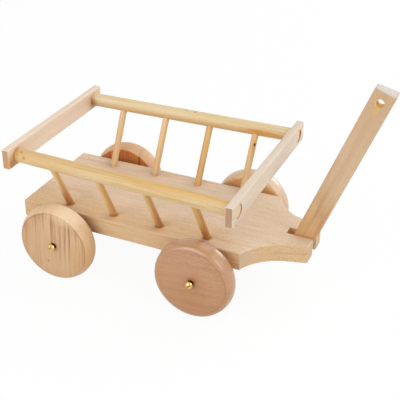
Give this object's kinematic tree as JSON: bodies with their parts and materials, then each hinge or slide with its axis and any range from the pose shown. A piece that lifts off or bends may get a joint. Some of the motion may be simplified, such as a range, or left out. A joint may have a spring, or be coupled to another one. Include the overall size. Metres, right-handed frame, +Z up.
{
  "type": "toy ladder wagon",
  "caption": "Wooden toy hand cart with a slotted deck, leaning spindle sides, disc wheels on screws and a hinged drawbar to pull it by.",
  "frame": {"origin": "on the floor under the middle of the wagon's overall box", "axes": "+X forward to the drawbar, +Y to the wagon's left, +Z up from the floor"},
  "size_m": [0.3019, 0.165, 0.198],
  "materials": {
    "board_wood": "sanded, unvarnished",
    "strip_wood": "sanded, unvarnished",
    "drawbar_wood": "sanded, unvarnished",
    "dowel_wood": "sanded, unvarnished",
    "beam_wood": "sanded, unvarnished",
    "wheel_wood": "sanded, unvarnished",
    "screw_brass": "polished",
    "pin_steel": "plain"
  },
  "bodies": {
    "wagon": {"deck": "board_wood", "crossbar_front": "strip_wood", "crossbar_rear": "strip_wood", "rail_left": "dowel_wood", "rail_right": "dowel_wood", "spindle_left_1": "dowel_wood", "spindle_left_2": "dowel_wood", "spindle_left_3": "dowel_wood", "spindle_left_4": "dowel_wood", "spindle_right_1": "dowel_wood", "spindle_right_2": "dowel_wood", "spindle_right_3": "dowel_wood", "spindle_right_4": "dowel_wood", "axle_beam_front": "beam_wood", "axle_beam_rear": "beam_wood", "axle_screw_front_left": "screw_brass", "axle_screw_front_right": "screw_brass", "axle_screw_rear_left": "screw_brass", "axle_screw_rear_right": "screw_brass", "drawbar_pin": "pin_steel"},
    "drawbar": {"drawbar": "drawbar_wood"},
    "wheel_front_left": {"wheel_front_left": "wheel_wood"},
    "wheel_front_right": {"wheel_front_right": "wheel_wood"},
    "wheel_rear_left": {"wheel_rear_left": "wheel_wood"},
    "wheel_rear_right": {"wheel_rear_right": "wheel_wood"}
  },
  "joints": [
    {"name": "drawbar_swing", "type": "hinge", "parent": "wagon", "child": "drawbar", "pos_m": [0.08785, 0, 0.04995], "axis": [0, -1, 0], "range_deg": [-82.5, 34.5]},
    {"name": "wheel_front_left_spin", "type": "hinge", "parent": "wagon", "child": "wheel_front_left", "pos_m": [0.01945, 0.06485, 0.0347], "axis": [0, 1, 0], "continuous": true},
    {"name": "wheel_front_right_spin", "type": "hinge", "parent": "wagon", "child": "wheel_front_right", "pos_m": [0.01945, -0.06485, 0.0347], "axis": [0, 1, 0], "continuous": true},
    {"name": "wheel_rear_left_spin", "type": "hinge", "parent": "wagon", "child": "wheel_rear_left", "pos_m": [-0.10905, 0.06485, 0.0347], "axis": [0, 1, 0], "continuous": true},
    {"name": "wheel_rear_right_spin", "type": "hinge", "parent": "wagon", "child": "wheel_rear_right", "pos_m": [-0.10905, -0.06485, 0.0347], "axis": [0, 1, 0], "continuous": true}
  ]
}
